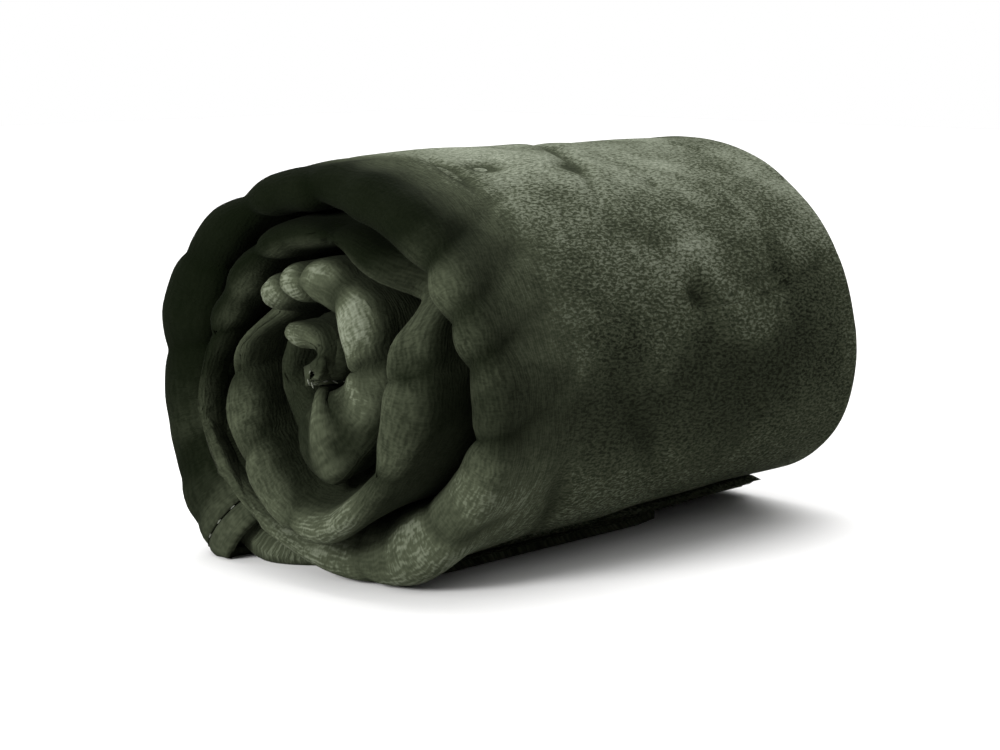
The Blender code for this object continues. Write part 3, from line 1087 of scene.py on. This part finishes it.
label_start = SHEET_LENGTH - LABEL_FROM_END
label_us = steps(LABEL_FROM_EDGE, LABEL_FROM_EDGE + LABEL_LENGTH, LABEL_STEP)
label_vs = steps(label_start, label_start + LABEL_WIDTH, LABEL_STEP)
label = closed_sheet("blank_label", [(label_vs, label_us)], label_sides)

# %% The woven tape's finish
def tape_finish():
    material = bpy.data.materials.new("woven_tape")
    material.use_nodes = True
    graph = Graph(material.node_tree)
    shader = material.node_tree.nodes["Principled BSDF"]
    sheet = graph.add("ShaderNodeUVMap", {"uv_map": "flat_sheet"})
    warp = graph.add("ShaderNodeTexWave", {"bands_direction": "X"}, output=1, Vector=sheet,
                     Scale=900.0, Distortion=0.6)
    weft = graph.add("ShaderNodeTexWave", {"bands_direction": "Y"}, output=1, Vector=sheet,
                     Scale=700.0, Distortion=0.6)
    weave = warp * 0.5 + weft * 0.5
    colour = mix_colour(graph, weave, rgba(0.42, 0.42, 0.39), rgba(0.62, 0.62, 0.58))
    bump_node = graph.add("ShaderNodeBump", Strength=0.4, Distance=0.2 * MM, Height=weave)
    material.node_tree.links.new(colour.socket, shader.inputs["Base Color"])
    material.node_tree.links.new(bump_node.socket, shader.inputs["Normal"])
    shader.inputs["Roughness"].default_value = 0.7
    return material


label.data.materials.append(tape_finish())
print("the label is", round(LABEL_LENGTH / MM), "by", round(LABEL_WIDTH / MM), "mm, blank")

# %% [markdown]
# ## What each piece stands for
#
# Every piece takes the place of its plain CAD solid, and rides on the one body.

# %% Pieces and nodes
for node, hem in hems.items():
    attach(hem, "root")
    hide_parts(node)
for node, seam in seams.items():
    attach(seam, "root")
    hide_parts(node)
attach(label, "root")
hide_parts("care_label")
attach(panel, "root")
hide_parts("fleece_panel")

# %% [markdown]
# ## Camera
#
# A long lens stands a metre away, a little above the roll, and looks at it from the right of the
# fold end, so that both the spiral and the whole length of the roll show.

# %% The camera
FRAME_WIDTH = 36.0
LENS = 82.8
LOOKS_DOWN = 0.152
LOOKS_LEFT = 0.7429
eye = bpy.data.cameras.new("studio_camera")
eye.lens = LENS
eye.sensor_width = FRAME_WIDTH
camera = bpy.data.objects.new("studio_camera", eye)
camera.location = (0.7705, -0.8574, 0.2551)
camera.rotation_euler = (math.pi / 2 - LOOKS_DOWN, 0.0, LOOKS_LEFT)
bpy.context.scene.collection.objects.link(camera)
bpy.context.scene.camera = camera
print("the camera looks down by", round(math.degrees(LOOKS_DOWN), 1), "degrees")

# %% [markdown]
# ## Light
#
# One very broad light comes from above and behind. It rakes over the top and leaves the side that
# faces the camera in soft shade. A weak card stands low in front of the fold end, and reaches
# into the spiral.

# %% Lights
ROLL_MIDDLE = (0.0, 0.0, 0.1)


def aim(light, source):
    """Puts a light at its source and turns it to the middle of the roll."""
    direction = Vector(ROLL_MIDDLE) - Vector(source)
    light.location = source
    light.rotation_euler = direction.to_track_quat("-Z", "Y").to_euler()
    bpy.context.scene.collection.objects.link(light)


def sun(name, source, strength, softness):
    data = bpy.data.lights.new(name, "SUN")
    data.energy = strength
    data.angle = math.radians(softness)
    light = bpy.data.objects.new(name, data)
    aim(light, source)


def panel_light(name, source, size, watts):
    data = bpy.data.lights.new(name, "AREA")
    data.energy = watts
    data.size = size
    light = bpy.data.objects.new(name, data)
    aim(light, source)


sun("overhead", (-0.35, 0.60, 1.2), strength=3.4, softness=75)
panel_light("front_card", (-0.05, -1.4, 0.55), size=0.45, watts=30)

# %% [markdown]
# ## Room and floor
#
# The room is white to the eye, but most of its light comes from the ceiling, so that the cloth
# keeps its dark side. The floor is a pale matt sheet.

# %% A white room and a pale floor
SKY_LIGHT = 1.3
SIDE_LIGHT = 0.08
CEILING = (0.25, 0.85)
WHITE = rgba(1.0, 1.0, 1.0)
PALE = rgba(0.70, 0.697, 0.693)
FLOOR_HALF = 4.0


def white_room():
    world = bpy.data.worlds.new("white_room")
    world.use_nodes = True
    bpy.context.scene.world = world
    tree = world.node_tree
    tree.nodes.remove(tree.nodes["Background"])
    graph = Graph(tree)
    direction = graph.add("ShaderNodeTexCoord")
    height = graph.add("ShaderNodeSeparateXYZ", output=2, i0=direction)
    strength = height.step(*CEILING) * SKY_LIGHT + SIDE_LIGHT
    ambient = graph.add("ShaderNodeBackground", Color=WHITE, Strength=strength)
    seen = graph.add("ShaderNodeBackground", Color=WHITE, Strength=1.0)
    camera_ray = graph.add("ShaderNodeLightPath")
    either = graph.add("ShaderNodeMixShader", i0=camera_ray, i1=ambient, i2=seen)
    tree.links.new(either.socket, tree.nodes["World Output"].inputs["Surface"])


def pale_floor():
    mesh = bpy.data.meshes.new("floor")
    signs = [(-1, -1), (1, -1), (1, 1), (-1, 1)]
    corners = [(x * FLOOR_HALF, y * FLOOR_HALF, 0) for x, y in signs]
    mesh.from_pydata(corners, [], [(0, 1, 2, 3)])
    material = bpy.data.materials.new("floor_paint")
    material.use_nodes = True
    shader = material.node_tree.nodes["Principled BSDF"]
    shader.inputs["Base Color"].default_value = PALE
    shader.inputs["Roughness"].default_value = 0.8
    shader.inputs["Specular IOR Level"].default_value = 0.2
    mesh.materials.append(material)
    floor = bpy.data.objects.new("floor", mesh)
    bpy.context.scene.collection.objects.link(floor)


white_room()
pale_floor()
bpy.context.scene.view_settings.view_transform = "Standard"
